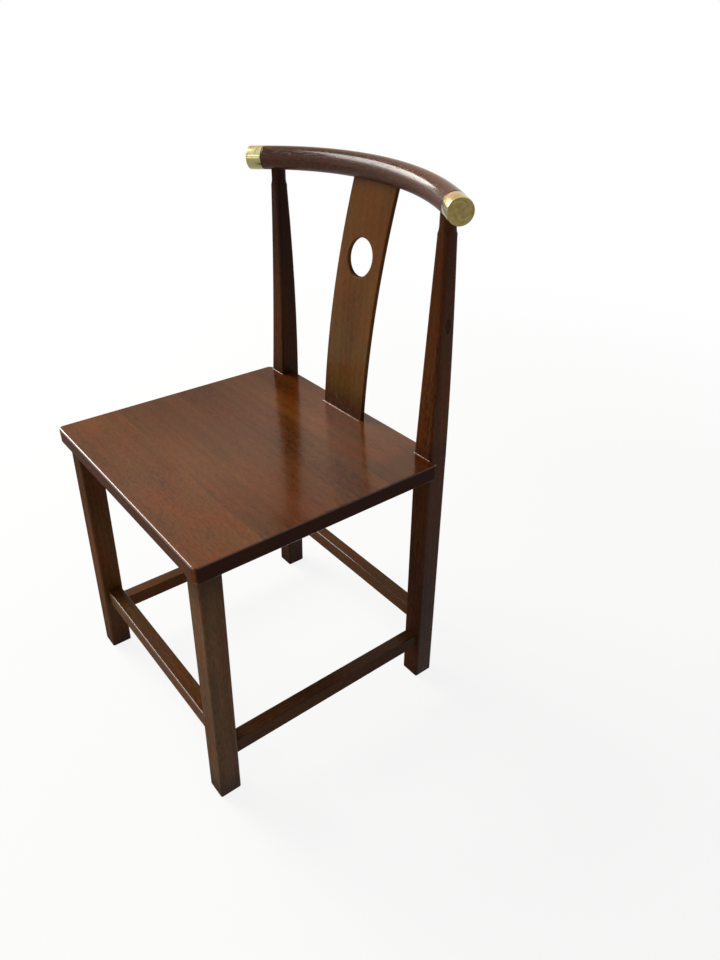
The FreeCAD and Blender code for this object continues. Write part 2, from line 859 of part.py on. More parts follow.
def crest_rail():
    body = new_body("crest_rail")
    circle = new_sketch(body, "round", "YZ_Plane")
    draw_circle(circle, (rail_y, size.rail_height), size.rail_radius)
    axis_end = (
        bow_centre_y - size.rail_bow_radius * sine(size.rail_tilt),
        bow_centre_z + size.rail_bow_radius * cosine(size.rail_tilt),
    )
    draw_axis(circle, (bow_centre_y, bow_centre_z), axis_end)
    turn("Revolution", circle, "Axis0", rail_wood_angle * 2)
    for side in SIDES.values():
        spigot = new_sketch(body, "spigot", "XY_Plane")
        spigot.setExpression("AttachmentOffset", rail_end_frame(side, ZERO))
        draw_circle(spigot, (ZERO, ZERO), size.cap_radius - size.cap_wall - size.joint_clearance)
        extrude("Pad", spigot, size.cap_length - size.cap_end_thickness - size.tenon_end_gap)
        mortise = new_sketch(body, "post_mortise", "XY_Plane", neck_top)
        draw_circle(mortise, (side * neck_x, neck_y), size.neck_radius + size.joint_clearance)
        extrude("Pocket", mortise, size.neck_rise + size.rail_radius + size.cut_overrun, DOWN)
    groove = new_sketch(body, "splat_groove", "YZ_Plane")
    draw_splat_profile(groove, size.joint_clearance)
    extrude("Pocket", groove, size.splat_width + size.joint_clearance * 2, BOTH_WAYS)
    return body


def rail_cap(name, side):
    """A turned cup: its mouth meets the rail's shoulder and its bore slides over the spigot."""
    body = new_body(name)
    body.setExpression("Placement.Base.y", None)
    body.setExpression("Placement", rail_end_frame(side, middle_shift))
    section = new_sketch(body, "section", "XZ_Plane")
    outer = size.cap_radius
    bore = size.cap_radius - size.cap_wall
    floor = size.cap_length - size.cap_end_thickness
    mouth = size.cap_mouth_arris
    crown = size.cap_end_arris
    points = [
        (bore, ZERO),
        (outer - mouth, ZERO),
        (outer, mouth),
        (outer, size.cap_length - crown),
        (outer - crown, size.cap_length),
        (ZERO, size.cap_length),
        (ZERO, floor),
        (bore, floor),
    ]
    draw_polygon(section, points)
    turn("Revolution", section, "V_Axis")
    return body


bodies = [
    seat_board_front(),
    seat_board_middle("seat_board_front_middle", joints["front"], joints["middle"]),
    seat_board_middle("seat_board_rear_middle", joints["middle"], joints["rear"]),
    seat_board_rear(),
    front_stretcher(),
    rear_stretcher(),
    back_splat(),
    crest_rail(),
]
bodies += [seat_tongue("seat_tongue_" + name, place) for name, place in joints.items()]
for name, side in SIDES.items():
    bodies.append(seat_batten("seat_batten_" + name, side))
    bodies.append(front_leg("front_leg_" + name, side))
    bodies.append(rear_post("rear_post_" + name, side))
    bodies.append(side_stretcher(name + "_stretcher", side))
    bodies.append(rail_cap("rail_cap_" + name, side))
doc.recompute()

# Nothing is written unless every feature worked and every cut removed wood

for item in doc.Objects:
    if "Invalid" in item.State or "Error" in item.State:
        raise RuntimeError("%s failed: %s" % (item.Label, item.State))
    if item.TypeId in ("PartDesign::Pocket", "PartDesign::Groove"):
        if item.Shape.Volume >= item.BaseFeature.Shape.Volume:
            raise RuntimeError(item.Label + " cuts nothing")

for body in bodies:
    if body.Shape.isNull() or not body.Shape.isValid() or len(body.Shape.Solids) != 1:
        raise RuntimeError(body.Label + " is not one sound solid")

os.makedirs("parts", exist_ok=True)
for body in bodies:
    body.Shape.exportStep("parts/%s.step" % body.Label)
    print("%-26s %10.0f mm3" % (body.Label, body.Shape.Volume))
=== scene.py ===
import math
import bpy
from mathutils import Matrix, Vector


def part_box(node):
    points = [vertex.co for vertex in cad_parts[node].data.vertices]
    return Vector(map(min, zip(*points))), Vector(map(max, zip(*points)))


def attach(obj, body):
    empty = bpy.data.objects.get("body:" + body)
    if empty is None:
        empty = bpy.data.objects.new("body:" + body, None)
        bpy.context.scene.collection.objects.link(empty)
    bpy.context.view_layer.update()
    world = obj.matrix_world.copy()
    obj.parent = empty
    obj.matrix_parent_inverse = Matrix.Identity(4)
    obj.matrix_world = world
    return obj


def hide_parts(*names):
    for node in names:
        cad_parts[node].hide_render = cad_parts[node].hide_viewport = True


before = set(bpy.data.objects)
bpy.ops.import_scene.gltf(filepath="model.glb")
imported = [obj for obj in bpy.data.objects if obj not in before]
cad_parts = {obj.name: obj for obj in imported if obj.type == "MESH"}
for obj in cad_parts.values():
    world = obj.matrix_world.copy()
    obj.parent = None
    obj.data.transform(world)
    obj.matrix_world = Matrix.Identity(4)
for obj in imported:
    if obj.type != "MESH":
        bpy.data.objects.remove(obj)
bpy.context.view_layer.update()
print("frame loaded:", len(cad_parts), "pieces")


# lengths are in metres and angles in degrees, unless a comment says otherwise
# small helpers for node trees

def setInputs(tree, node, sources):
    # a socket gets either a link or a plain value
    for name, source in sources.items():
        if isinstance(source, bpy.types.NodeSocket):
            tree.links.new(source, node.inputs[name])
        else:
            node.inputs[name].default_value = source


def addNode(tree, kind, sources=None, **settings):
    node = tree.nodes.new(kind)
    for name, value in settings.items():
        setattr(node, name, value)
    setInputs(tree, node, sources or {})
    return node


def calculate(tree, operation, first, second=0.0, third=0.0):
    sources = {0: first, 1: second, 2: third}
    return addNode(tree, "ShaderNodeMath", sources, operation=operation).outputs["Value"]


def calculateVector(tree, operation, first, second=(0, 0, 0)):
    node = addNode(tree, "ShaderNodeVectorMath", {0: first, 1: second}, operation=operation)
    return node.outputs["Value" if operation in ("LENGTH", "DOT_PRODUCT") else "Vector"]


def ramp(tree, value, low, high, lowResult=0.0, highResult=1.0):
    sources = {"Value": value, "From Min": low, "From Max": high, "To Min": lowResult, "To Max": highResult}
    return addNode(tree, "ShaderNodeMapRange", sources, interpolation_type="SMOOTHSTEP").outputs["Result"]


def mixColour(tree, share, first, second, blend="MIX"):
    # sockets 6 and 7 take the two colours; a plain one comes as red, green and blue
    first, second = ((*side, 1) if isinstance(side, tuple) else side for side in (first, second))
    sources = {"Factor": share, 6: first, 7: second}
    return addNode(tree, "ShaderNodeMix", sources, data_type="RGBA", blend_type=blend).outputs[2]


def noise(tree, vector, seed, scale, detail=3.0, roughness=0.6):
    sources = {"Vector": vector, "W": seed, "Scale": scale, "Detail": detail, "Roughness": roughness}
    return addNode(tree, "ShaderNodeTexNoise", sources, noise_dimensions="4D").outputs["Fac"]


def stretchedNoise(tree, vector, seed, look):
    # the look of such a noise: its stretch along each axis, its detail and its roughness
    stretch, detail, roughness = look
    return noise(tree, calculateVector(tree, "MULTIPLY", vector, stretch), seed, 1.0, detail, roughness)


def newGroup(name, inputs, outputs):
    group = bpy.data.node_groups.new(name, "ShaderNodeTree")
    for direction, sockets in (("INPUT", inputs), ("OUTPUT", outputs)):
        for socketName, kind in sockets.items():
            group.interface.new_socket(socketName, in_out=direction, socket_type="NodeSocket" + kind)
    return group, addNode(group, "NodeGroupInput"), addNode(group, "NodeGroupOutput")


def newMaterial(name):
    material = bpy.data.materials.new(name)
    material.use_nodes = True
    return material, material.node_tree, material.node_tree.nodes["Principled BSDF"]


# shared effects

grainLook = {
    "ringStretch": (0.055, 1.0, 1.0),
    "ringWave": {"Distortion": 5.5, "Detail": 3.0, "Detail Scale": 0.9, "Detail Roughness": 0.55},
    "streaks": ((2.2, 60.0, 60.0), 4.0, 0.6),
    "fibres": ((14.0, 520.0, 520.0), 2.0, 0.6),
    "flecks": ((110.0, 430.0, 430.0), 2.0, 0.6),
    "pores": ((55.0, 1500.0, 1500.0), 1.0, 0.5),
    "clouds": ((3.5, 11.0, 11.0), 2.0, 0.5),
    "hues": ((14.0, 21.0, 21.0), 4.0, 0.6),
    "ringWeight": 0.25, "streakWeight": 0.7, "fibreWeight": 0.6, "fleckWeight": 2.2, "cloudWeight": 1.5,
    "middle": 0.5, "darkToMiddle": (0.0, 0.55), "middleToLight": (0.45, 1.05),
    "poreEdge": (0.6, 0.72), "poreShare": 0.55,
    "hueEdge": (0.36, 0.64), "warmTint": (1.09, 0.91, 0.82), "coolTint": (0.90, 1.05, 1.10),
    "fibreHeight": 0.35, "cloudSheen": 0.6, "streakSheen": 0.4,
}


def buildWoodGrain():
    # the grain runs along X of the vector that comes in
    look = grainLook
    tree, entry, leave = newGroup(
        "woodGrain",
        {"Vector": "Vector", "Seed": "Float", "Ring Scale": "Float", "Figure": "Float",
         "Dark": "Color", "Middle": "Color", "Light": "Color"},
        {"Colour": "Color", "Height": "Float", "Sheen": "Float"},
    )
    given = entry.outputs
    place, seed = given["Vector"], given["Seed"]
    rings = addNode(tree, "ShaderNodeTexWave", {
        "Vector": calculateVector(tree, "MULTIPLY", place, look["ringStretch"]),
        "Scale": given["Ring Scale"], "Phase Offset": seed, **look["ringWave"],
    }, wave_type="RINGS", rings_direction="X").outputs["Fac"]
    streaks, fibres, flecks, pores, clouds, hues = (
        stretchedNoise(tree, place, seed, look[pattern])
        for pattern in ("streaks", "fibres", "flecks", "pores", "clouds", "hues")
    )

    def weighed(pattern, weightName):
        aside = calculate(tree, "SUBTRACT", pattern, look["middle"])
        return calculate(tree, "MULTIPLY", aside, look[weightName])

    tone = look["middle"]
    for pattern, weightName in ((rings, "ringWeight"), (streaks, "streakWeight"),
                                (fibres, "fibreWeight"), (flecks, "fleckWeight")):
        part = calculate(tree, "MULTIPLY", weighed(pattern, weightName), given["Figure"])
        tone = calculate(tree, "ADD", part, tone)
    tone = calculate(tree, "ADD", tone, weighed(clouds, "cloudWeight"))
    poreMask = ramp(tree, pores, *look["poreEdge"])
    colour = mixColour(tree, ramp(tree, tone, *look["darkToMiddle"]), given["Dark"], given["Middle"])
    colour = mixColour(tree, ramp(tree, tone, *look["middleToLight"]), colour, given["Light"])
    colour = mixColour(tree, calculate(tree, "MULTIPLY", poreMask, look["poreShare"]), colour, given["Dark"])
    tint = mixColour(tree, ramp(tree, hues, *look["hueEdge"]), look["warmTint"], look["coolTint"])
    fibreHeight = calculate(tree, "MULTIPLY", fibres, look["fibreHeight"])
    cloudSheen = calculate(tree, "MULTIPLY", clouds, look["cloudSheen"])
    streakSheen = calculate(tree, "MULTIPLY", streaks, look["streakSheen"])
    setInputs(tree, leave, {
        "Colour": mixColour(tree, 1.0, colour, tint, "MULTIPLY"),
        "Height": calculate(tree, "SUBTRACT", fibreHeight, poreMask),
        "Sheen": calculate(tree, "ADD", cloudSheen, streakSheen),
    })
    return tree


edgeLook = {"samples": 4, "arris": (0.995, 0.86), "patchScale": 55.0, "patchEdge": (0.35, 0.7)}


def buildEdgeWearAndHighlight():
    # finds the arrises: where a rounded normal leaves the real one
    tree, entry, leave = newGroup(
        "edgeWearAndHighlight", {"Radius": "Float", "Seed": "Float"}, {"WearAndHighlight": "Float", "Normal": "Vector"},
    )
    bevelSources = {"Radius": entry.outputs["Radius"]}
    rounded = addNode(tree, "ShaderNodeBevel", bevelSources, samples=edgeLook["samples"]).outputs["Normal"]
    real = addNode(tree, "ShaderNodeNewGeometry").outputs["Normal"]
    arris = ramp(tree, calculateVector(tree, "DOT_PRODUCT", rounded, real), *edgeLook["arris"])
    place = addNode(tree, "ShaderNodeTexCoord").outputs["Object"]
    patches = noise(tree, place, entry.outputs["Seed"], edgeLook["patchScale"])
    # the mask marks rubbed wear on the arrises, and also a painted highlight along them
    wornAndHighlit = calculate(tree, "MULTIPLY", arris, ramp(tree, patches, *edgeLook["patchEdge"]))
    setInputs(tree, leave, {"WearAndHighlight": wornAndHighlit, "Normal": rounded})
    return tree


woodGrain = buildWoodGrain()
edgeWearAndHighlight = buildEdgeWearAndHighlight()


# wood finishes

quarterTurn = math.radians(90)
grainTurns = {"across": (0.0, 0.0, 0.0), "deep": (0.0, 0.0, quarterTurn), "upright": (0.0, quarterTurn, 0.0)}
grainRuns = {"across": (1, 0, 0), "deep": (0, 1, 0), "upright": (0, 0, 1)}

# each pair is where an effect starts and where it is full
woodFinish = {
    "endGrain": (0.55, 0.9), "glueLine": (0.0011, 0.0003), "streak": (1.2, 0.2),
    "knotInside": (1.1, 0.9), "knotShare": 0.6, "knotRing": 0.82, "knotRingEdge": (0.3, 0.1),
    "sheen": (0.3, 0.7), "polish": (0.25, 0.6), "gatheredShare": 0.6,
    "ior": 1.48, "coatRoughness": 0.16, "coatIor": 1.45, "bumpDistance": 0.0004,
}


def ovalReach(tree, point, spot):
    # 0 in the middle of the oval spot and 1 on its rim
    offset = calculateVector(tree, "SUBTRACT", point, spot["place"])
    return calculateVector(tree, "LENGTH", calculateVector(tree, "DIVIDE", offset, spot["reach"]))


def asideFrom(tree, value, middle):
    return calculate(tree, "ABSOLUTE", calculate(tree, "SUBTRACT", value, middle))


def stainAndShadeWood(tree, colour, piece, coordinates, axes):
    stainAndShade = piece["stainAndShade"]
    if piece["endStain"]:
        # cut ends drink more stain, so they are darker
        facing = calculateVector(tree, "DOT_PRODUCT", coordinates["Normal"], grainRuns[piece["grain"]])
        facing = calculate(tree, "ABSOLUTE", facing)
        endGrain = ramp(tree, facing, *woodFinish["endGrain"], 0.0, piece["endStain"])
        colour = mixColour(tree, endGrain, colour, stainAndShade)
    for axis, start, end, share in piece.get("darkeningAndShade", ()):
        # the colour grows darker from start to end; mostly painted shade, told with each piece
        colour = mixColour(tree, ramp(tree, axes[axis], start, end, 0.0, share), colour, stainAndShade)
    if "knot" in piece:
        away = ovalReach(tree, coordinates["Object"], piece["knot"])
        inside = ramp(tree, away, *woodFinish["knotInside"], 0.0, woodFinish["knotShare"])
        ring = ramp(tree, asideFrom(tree, away, woodFinish["knotRing"]), *woodFinish["knotRingEdge"])
        colour = mixColour(tree, calculate(tree, "MAXIMUM", inside, ring), colour, piece["knot"]["colour"])
    if "glueLine" in piece:
        beside = asideFrom(tree, axes["Y"], piece["glueLine"])
        line = ramp(tree, beside, *woodFinish["glueLine"], 0.0, piece["glueStrength"])
        colour = mixColour(tree, line, colour, stainAndShade)
    if "streak" in piece:
        away = ovalReach(tree, coordinates["Object"], piece["streak"])
        streak = ramp(tree, away, *woodFinish["streak"], 0.0, piece["streak"]["strength"])
        colour = mixColour(tree, streak, colour, stainAndShade)
    return colour


def layLacquer(tree, piece, axes, polish, height):
    # the lacquer lies on the polished sides only
    lacquer = piece["lacquer"]
    if "lacquerFades" in piece:
        left, right, least = piece["lacquerFades"]
        lacquer = ramp(tree, axes["X"], left, right, least, lacquer)
    lacquer = calculate(tree, "MULTIPLY", polish, lacquer)
    if "thickEdge" in piece:
        # it gathers along the front arris, where it fills the pores too
        edge = piece["thickEdge"]
        outer = edge["reach"]
        inner = outer * woodFinish["gatheredShare"]
        nearFront = ramp(tree, axes["Y"], edge["y"] + outer, edge["y"] + inner)
        nearTop = ramp(tree, axes["Z"], edge["z"] - outer, edge["z"] - inner)
        gathered = calculate(tree, "MULTIPLY", nearFront, nearTop)
        height = calculate(tree, "MULTIPLY", height, calculate(tree, "SUBTRACT", 1.0, gathered))
        added = calculate(tree, "MULTIPLY", gathered, calculate(tree, "SUBTRACT", 1.0, lacquer))
        lacquer = calculate(tree, "ADD", lacquer, added)
    return lacquer, height


def lacqueredWood(name, piece):
    material, tree, shader = newMaterial(name)
    coordinates = addNode(tree, "ShaderNodeTexCoord").outputs
    axes = addNode(tree, "ShaderNodeSeparateXYZ", {"Vector": coordinates["Object"]}).outputs
    place = coordinates["Object"]
    if piece.get("followsBow"):
        place = addNode(tree, "ShaderNodeAttribute", attribute_name="alongBow").outputs["Vector"]
    mapping = addNode(tree, "ShaderNodeMapping", {
        "Vector": place, "Rotation": grainTurns[piece["grain"]], "Location": piece["pith"],
    }, vector_type="POINT")
    dark, middle, light = ((*tone, 1) for tone in piece["tones"])
    grain = addNode(tree, "ShaderNodeGroup", {
        "Vector": mapping.outputs["Vector"], "Seed": piece["seed"], "Ring Scale": piece["rings"],
        "Figure": piece["figure"], "Dark": dark, "Middle": middle, "Light": light,
    }, node_tree=woodGrain).outputs
    edges = addNode(tree, "ShaderNodeGroup", {
        "Radius": piece["softEdge"], "Seed": piece["seed"],
    }, node_tree=edgeWearAndHighlight).outputs
    # arrises are lightened: rubbed wear, and a painted highlight where they catch the light
    wornAndHighlit = calculate(tree, "MULTIPLY", edges["WearAndHighlight"], piece["wearAndHighlight"])
    colour = mixColour(tree, wornAndHighlit, grain["Colour"], piece["rubbedAndHighlit"])
    colour = stainAndShadeWood(tree, colour, piece, coordinates, axes)
    # only the sides that face along the polished direction are rubbed to a gloss
    turnedTo = calculateVector(tree, "DOT_PRODUCT", coordinates["Normal"], piece["polished"])
    if piece["bothSides"]:
        turnedTo = calculate(tree, "ABSOLUTE", turnedTo)
    polish = ramp(tree, turnedTo, *woodFinish["polish"])
    gloss = ramp(tree, grain["Sheen"], *woodFinish["sheen"], *piece["gloss"])
    glossier = calculate(tree, "SUBTRACT", gloss, piece["sanded"])
    height = grain["Height"]
    if piece["lacquer"] or "thickEdge" in piece:
        lacquer, height = layLacquer(tree, piece, axes, polish, height)
        setInputs(tree, shader, {"Coat Weight": lacquer})
    bump = addNode(tree, "ShaderNodeBump", {
        "Strength": piece["pores"], "Distance": woodFinish["bumpDistance"],
        "Height": height, "Normal": edges["Normal"],
    })
    setInputs(tree, shader, {
        "Base Color": colour,
        "Roughness": calculate(tree, "MULTIPLY_ADD", glossier, polish, piece["sanded"]),
        "IOR": woodFinish["ior"],
        "Specular IOR Level": piece["shine"],
        "Coat Roughness": woodFinish["coatRoughness"],
        "Coat IOR": woodFinish["coatIor"],
        "Normal": bump.outputs["Normal"],
    })
    return material


def dressNode(nodeName, material):
    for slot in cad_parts[nodeName].material_slots:
        slot.material = material


def dressNodes(pieces, shared):
    # what a piece sets itself goes over what it shares
    for nodeName, changes in pieces.items():
        dressNode(nodeName, lacqueredWood(nodeName + "Wood", {**shared, **changes}))


def frontEdge(nodeName, reach):
    # where the front top arris runs, and how far from it the lacquer gathers
    low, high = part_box(nodeName)
    return {"y": low[1], "z": high[2], "reach": reach}


# pith moves the middle of the rings; tones are the dark, middle and light colour of the grain;
# the darkening list gives where the colour grows darker, mostly as painted shade: axis, start, end and share
baseWood = {
    "grain": "across", "pith": (0.0, 0.03, -0.11), "rings": 30.0, "figure": 1.0,
    "tones": ((0.055, 0.013, 0.002), (0.112, 0.031, 0.004), (0.166, 0.052, 0.007)),
    # the lighter arris colour is rubbed wear and also a painted highlight
    "rubbedAndHighlit": (0.26, 0.12, 0.04), "wearAndHighlight": 0.25, "softEdge": 0.0016,
    # this stain colour also serves as painted shade where the wood is darkened
    "stainAndShade": (0.018, 0.004, 0.002), "endStain": 0.92, "polished": (0, 0, 1), "bothSides": True,
    "gloss": (0.24, 0.34), "sanded": 0.75, "pores": 0.3, "shine": 0.18, "lacquer": 0.08,
}

# seat: four boards glued edge to edge; the front one is the most orange
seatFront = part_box("seat_board_front")[0][1]
# painted shade on the seat: darker to the left, on the front face, and at the rear right corner beside the
# post
shadedLeft = ("X", 0.1, -0.24, 0.3)
shadedFrontFace = ("Y", seatFront + 0.0008, seatFront + 0.0001, 0.6)
shadedPostCorner = ("X", 0.14, 0.19, 0.45)
seatWood = {
    "wearAndHighlight": 0.0, "softEdge": 0.0002, "gloss": (0.12, 0.18), "figure": 0.6, "pores": 0.1, "shine": 0.11,
    "lacquer": 0.66, "lacquerFades": (-0.24, 0.08, 0.08), "darkeningAndShade": [shadedLeft], "glueStrength": 0.15,
}
seatBoards = {
    "seat_board_front": {
        "pith": (0.1, 0.19, -0.36), "seed": 3.1, "darkeningAndShade": [shadedLeft, shadedFrontFace], "glueStrength": 0.55,
        "tones": ((0.068, 0.018, 0.002), (0.150, 0.043, 0.005), (0.220, 0.072, 0.009)),
        "thickEdge": frontEdge("seat_board_front", 0.0028),
        "streak": {"place": (0.1, -0.139, 0.44), "reach": (0.085, 0.006, 0.02), "strength": 0.5},
    },
    "seat_board_front_middle": {"pith": (0.3, 0.02, -0.33), "seed": 7.4},
    "seat_board_rear_middle": {"pith": (0.7, -0.09, -0.37), "seed": 12.6},
    "seat_board_rear": {"pith": (0.2, -0.14, -0.35), "seed": 19.2, "darkeningAndShade": [shadedLeft, shadedPostCorner]},
}
for nodeName, changes in seatBoards.items():
    changes["glueLine"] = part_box(nodeName)[1][1]
dressNodes(seatBoards, {**baseWood, **seatWood})

# battens and tongues under and inside the seat
underSeat = {
    "seat_batten_left": {"grain": "deep", "pith": (0.0, 0.02, -0.4), "seed": 23.0},
    "seat_batten_right": {"grain": "deep", "pith": (0.0, -0.05, -0.41), "seed": 24.5},
    "seat_tongue_front": {"seed": 25.0},
    "seat_tongue_middle": {"seed": 26.0},
    "seat_tongue_rear": {"seed": 27.0},
}
dressNodes(underSeat, {**baseWood, "wearAndHighlight": 0.3})

# legs, posts and stretchers
darkWood = {
    "tones": ((0.032, 0.010, 0.003), (0.078, 0.027, 0.006), (0.125, 0.048, 0.012)),
    "rings": 44.0, "figure": 0.5, "shine": 0.06, "lacquer": 0.0, "polished": (1, 0, 0), "sanded": 0.8,
}
# darker towards the foot
darkFoot = ("Z", 0.06, 0.0, 0.6)
# painted shade darkens the legs just under the seat
legFinish = {"grain": "upright", "darkeningAndShade": [darkFoot, ("Z", 0.35, 0.415, 0.5)]}
postFinish = {
    "grain": "upright", "softEdge": 0.004, "wearAndHighlight": 0.1,
    # the posts are darker towards the foot; painted shade darkens them upwards towards the rail, and just
    # above the seat
    "darkeningAndShade": [darkFoot, ("Z", 0.52, 0.74, 0.6), ("Z", 0.48, 0.44, 0.4)],
}
stretcherFinish = {"shine": 0.14, "gloss": (0.16, 0.26), "polished": (0, 0, 1)}
legsAndStretchers = {
    "front_leg_left": {**legFinish, "pith": (0.0, 0.31, -0.1), "seed": 31.0},
    # the near front leg has lighter, yellower tones: painted light on its lit faces
    "front_leg_right": {
        **legFinish, "pith": (0.0, 0.27, 0.02), "seed": 33.7,
        "tones": ((0.045, 0.022, 0.011), (0.116, 0.058, 0.026), (0.182, 0.099, 0.048)),
    },
    # the left post's tones are darker: painted shade, as its seen side is in shade
    "rear_post_left": {
        **postFinish, "pith": (0.0, -0.06, -0.24), "seed": 36.1,
        "tones": ((0.024, 0.007, 0.002), (0.056, 0.018, 0.004), (0.092, 0.033, 0.008)),
    },
    # the right post's tones are lighter and redder: painted light on its lit faces
    "rear_post_right": {
        **postFinish, "pith": (0.0, -0.1, 0.28), "seed": 38.9,
        "tones": ((0.042, 0.011, 0.003), (0.112, 0.033, 0.006), (0.160, 0.055, 0.012)),
        "knot": {"place": (0.2085, 0.1765, 0.643), "reach": (0.012, 0.0042, 0.0105),
                 "colour": (0.004, 0.002, 0.001)},
    },
    "front_stretcher": {
        **stretcherFinish, "grain": "across", "pith": (0.0, 0.31, -0.05), "seed": 41.0,
        "thickEdge": frontEdge("front_stretcher", 0.002),
    },
    "rear_stretcher": {
        **stretcherFinish, "grain": "across", "pith": (0.0, -0.25, -0.2), "seed": 43.0,
        "thickEdge": frontEdge("rear_stretcher", 0.002),
    },
    "left_stretcher": {**stretcherFinish, "grain": "deep", "pith": (0.1, -0.26, -0.02), "seed": 45.0},
    # this stretcher's tones are darker: painted shade, as its seen side is in shade
    "right_stretcher": {
        **stretcherFinish, "grain": "deep", "pith": (0.4, 0.14, -0.16), "seed": 47.0,
        "tones": ((0.023, 0.008, 0.004), (0.056, 0.022, 0.008), (0.090, 0.039, 0.016)),
    },
}
dressNodes(legsAndStretchers, {**baseWood, **darkWood})

splat = {
    "grain": "upright", "pith": (0.0, 0.03, -0.32), "seed": 52.0, "rings": 26.0, "figure": 0.5,
    "tones": ((0.080, 0.031, 0.005), (0.130, 0.053, 0.010), (0.182, 0.080, 0.017)),
    "shine": 0.08, "lacquer": 0.0, "gloss": (0.16, 0.24), "polished": (0, 1, 0),
    "stainAndShade": (0.030, 0.004, 0.001),
    # painted shade: darker at the foot on the seat, just under the rail, and gently upwards towards it
    "darkeningAndShade": [("Z", 0.50, 0.445, 0.7), ("Z", 0.775, 0.81, 0.5), ("Z", 0.55, 0.76, 0.22)],
}
dressNode("back_splat", lacqueredWood("splatWood", {**baseWood, **splat}))
print("wood finishes made:", len(bpy.data.materials))


# small helpers for modelling

def startEditing():
    bpy.ops.object.mode_set(mode="EDIT")
    bpy.ops.mesh.select_mode(type="FACE")


def pickFaces(piece, wanted):
    # the faces that fit are left selected, and nothing else
    bpy.ops.mesh.select_all(action="DESELECT")
    bpy.ops.object.mode_set(mode="OBJECT")
    for face in piece.data.polygons:
        face.select = wanted(face)
    startEditing()


def roundRims(piece, wanted, radius, steps):
    pickFaces(piece, wanted)
    bpy.ops.mesh.region_to_loop()
    bpy.ops.mesh.bevel(offset=radius, segments=steps, affect="EDGES")


def pushOut(distance):
    # each picked face grows a collar of this length along its own normal
    bpy.ops.mesh.extrude_region_shrink_fatten(TRANSFORM_OT_shrink_fatten={"value": distance})


def finishShape(sharpAngle):
    # edges up to this angle are shaded smooth
    bpy.ops.object.mode_set(mode="OBJECT")
    bpy.ops.object.shade_smooth_by_angle(angle=math.radians(sharpAngle))


def settle(piece, place):
    # puts a finished mesh where it belongs, with the object left at the origin
    bpy.ops.object.select_all(action="DESELECT")
    piece.select_set(True)
    bpy.context.view_layer.objects.active = piece
    piece.matrix_world = place
    bpy.ops.object.transform_apply(location=True, rotation=True, scale=True)


def noteVectors(piece, name, finder):
    # keeps one vector a point, for patterns that follow the shape
    notes = piece.data.attributes.new(name, "FLOAT_VECTOR", "POINT")
    for point, note in zip(piece.data.vertices, notes.data):
        note.vector = finder(point.co)


# crest rail: one bar bent to a bow, with soft shoulders and a spigot for each cap

rail = {
    "radius": 0.0174, "bowRadius": 0.4325, "tilt": 7.6, "overhang": 0.023, "postReach": 0.1934,
    "shoulder": 0.0024, "shoulderSteps": 5, "spigotLength": 0.0225, "sides": 72, "steps": 120,
    "sharpAngle": 40,
    "pith": (0.0, -0.36, 0.09), "seed": 58.0, "followsBow": True, "endStain": 0.0,
    "tones": ((0.029, 0.007, 0.002), (0.063, 0.017, 0.004), (0.108, 0.034, 0.008)),
    "lacquer": 0.2, "lacquerFades": (-0.18, -0.02, 0.03),
    "gloss": (0.08, 0.13), "sanded": 0.45, "bothSides": False,
    # painted shadow in the gap at each cap, and painted shade towards the left end
    "darkeningAndShade": [("X", -0.2085, -0.2125, 0.85), ("X", 0.2085, 0.2125, 0.85), ("X", -0.05, -0.2, 0.35)],
}
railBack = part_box("crest_rail")[1][1] - rail["radius"]
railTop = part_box("crest_rail")[1][2] - rail["radius"]
bowTilt = math.radians(rail["tilt"])
bowTurn = math.asin(rail["postReach"] / rail["bowRadius"]) + rail["overhang"] / rail["bowRadius"]
bowPlace = Matrix.Translation((
    0.0,
    railBack - rail["bowRadius"] * math.cos(bowTilt),
    railTop - rail["bowRadius"] * math.sin(bowTilt),
)) @ Matrix.Rotation(bowTilt, 4, "X")


def bowPoint(turn):
    return rail["bowRadius"] * math.sin(turn), rail["bowRadius"] * math.cos(turn), 0


def isRailEnd(face):
    return len(face.vertices) == rail["sides"]


def alongBow(point):
    return math.atan2(point.x, point.y) * rail["bowRadius"], math.hypot(point.x, point.y), point.z


def makeRail():
    bpy.ops.object.select_all(action="DESELECT")
    bpy.ops.mesh.primitive_circle_add(
        vertices=rail["sides"], radius=rail["radius"],
        location=bowPoint(-bowTurn), rotation=(quarterTurn, 0, quarterTurn + bowTurn),
    )
    piece = bpy.context.object
    piece.name = "bentRail"
    bpy.ops.object.transform_apply(location=True, rotation=True, scale=True)
    # the round section is spun about the middle of the bow
    startEditing()
    bpy.ops.mesh.select_all(action="SELECT")
    bpy.ops.mesh.spin(steps=rail["steps"], angle=2 * bowTurn, center=(0, 0, 0), axis=(0, 0, 1))
    bpy.ops.mesh.select_all(action="SELECT")
    bpy.ops.mesh.fill_holes(sides=0)
    bpy.ops.mesh.select_all(action="SELECT")
    bpy.ops.mesh.normals_make_consistent(inside=False)
    roundRims(piece, isRailEnd, rail["shoulder"], rail["shoulderSteps"])
    pickFaces(piece, isRailEnd)
    pushOut(rail["spigotLength"])
    finishShape(rail["sharpAngle"])
    noteVectors(piece, "alongBow", alongBow)
    settle(piece, bowPlace)
    piece.data.materials.append(lacqueredWood("railWood", {**baseWood, **rail}))
    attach(piece, "root")
    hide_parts("crest_rail")


makeRail()
print("crest rail bent")


# brass caps: drawn cups with a rolled crown, a soft mouth and turned brushing

